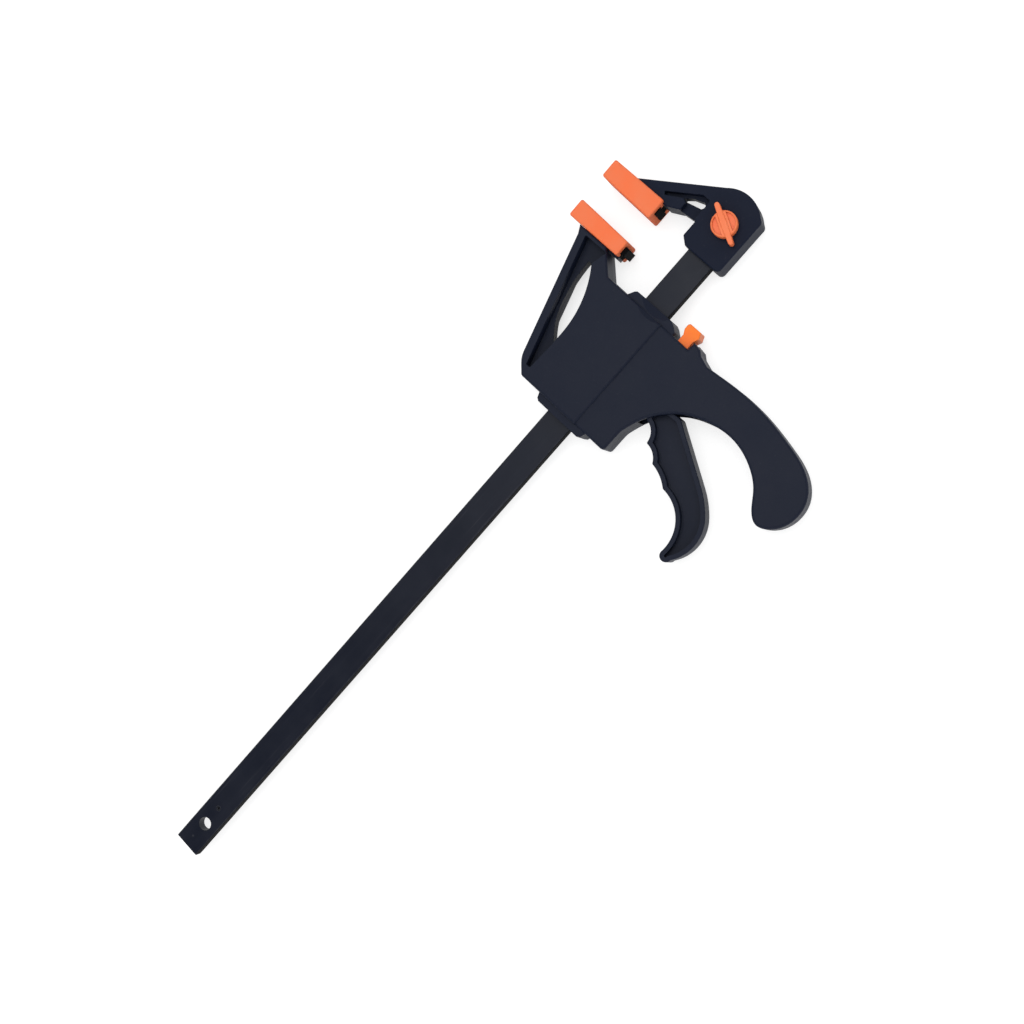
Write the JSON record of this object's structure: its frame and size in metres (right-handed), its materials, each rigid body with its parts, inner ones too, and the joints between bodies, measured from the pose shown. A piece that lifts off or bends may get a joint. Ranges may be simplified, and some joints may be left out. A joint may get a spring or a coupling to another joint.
{
  "type": "quick release bar clamp",
  "caption": "One-handed bar clamp: a squeeze-trigger jaw slides along a flat steel bar towards a fixed jaw held by a wing knob, and a push button releases it.",
  "frame": {"origin": "centre of the hole at the bar's free end, at the middle of the bar's thickness", "axes": "+X runs along the bar towards the fixed jaw, +Y points to the side that the jaws stand on, +Z is the side of the wing knob"},
  "size_m": [0.4098, 0.1694, 0.0207],
  "materials": {
    "black_steel": "blackened, satin",
    "spring_steel": "plain spring steel",
    "zinc_steel": "zinc plated",
    "plate_steel": "hardened, ground",
    "black_nylon": "glass-filled nylon, fine grain",
    "orange_pad": "soft moulded, matt",
    "orange_plastic": "moulded, semi-gloss"
  },
  "bodies": {
    "bar_and_head": {"bar": "black_steel", "bar_stop_pin": "black_steel", "fixed_jaw": "black_nylon", "fixed_jaw_pad": "orange_pad", "jaw_nut": "zinc_steel", "knob_washer": "zinc_steel"},
    "knob": {"head_knob": "orange_plastic", "head_screw": "zinc_steel"},
    "carriage": {"housing_front": "black_nylon", "housing_back": "black_nylon", "housing_screws": "zinc_steel", "moving_jaw_pad": "orange_pad", "trigger_pin": "spring_steel", "drive_spring": "spring_steel", "brake_spring": "spring_steel"},
    "trigger_lever": {"trigger": "black_nylon"},
    "drive_plates": {"drive_plate_1": "plate_steel", "drive_plate_2": "plate_steel"},
    "release_lever": {"brake_plate": "plate_steel", "release_button": "orange_plastic"}
  },
  "joints": [
    {"name": "jaw_slide", "type": "slide", "parent": "bar_and_head", "child": "carriage", "axis": [1, 0, 0], "range_m": [-0.253, 0.0136]},
    {"name": "trigger_squeeze", "type": "hinge", "parent": "carriage", "child": "trigger_lever", "pos_m": [0.2972, -0.027, 0], "axis": [0, 0, 1], "range_deg": [0, 22], "stiffness_Nm_per_rad": 0.2, "springref_deg": -34.38},
    {"name": "drive_stroke", "type": "slide", "parent": "carriage", "child": "drive_plates", "axis": [-1, 0, 0], "range_m": [0, 0.00535], "deforming": ["drive_spring"]},
    {"name": "release_press", "type": "hinge", "parent": "carriage", "child": "release_lever", "pos_m": [0.3162, 0.0115, 0], "axis": [0, 0, 1], "range_deg": [-4, 0], "stiffness_Nm_per_rad": 0.3, "springref_deg": 17.19, "deforming": ["brake_spring"]},
    {"name": "knob_turn", "type": "hinge", "parent": "bar_and_head", "child": "knob", "pos_m": [0.3785, 0, 0], "axis": [0, 0, 1], "range_deg": [0, 720]}
  ],
  "couplings": [
    {"joint": "drive_stroke", "follows": "trigger_squeeze", "m_per_rad": 0.013914}
  ]
}
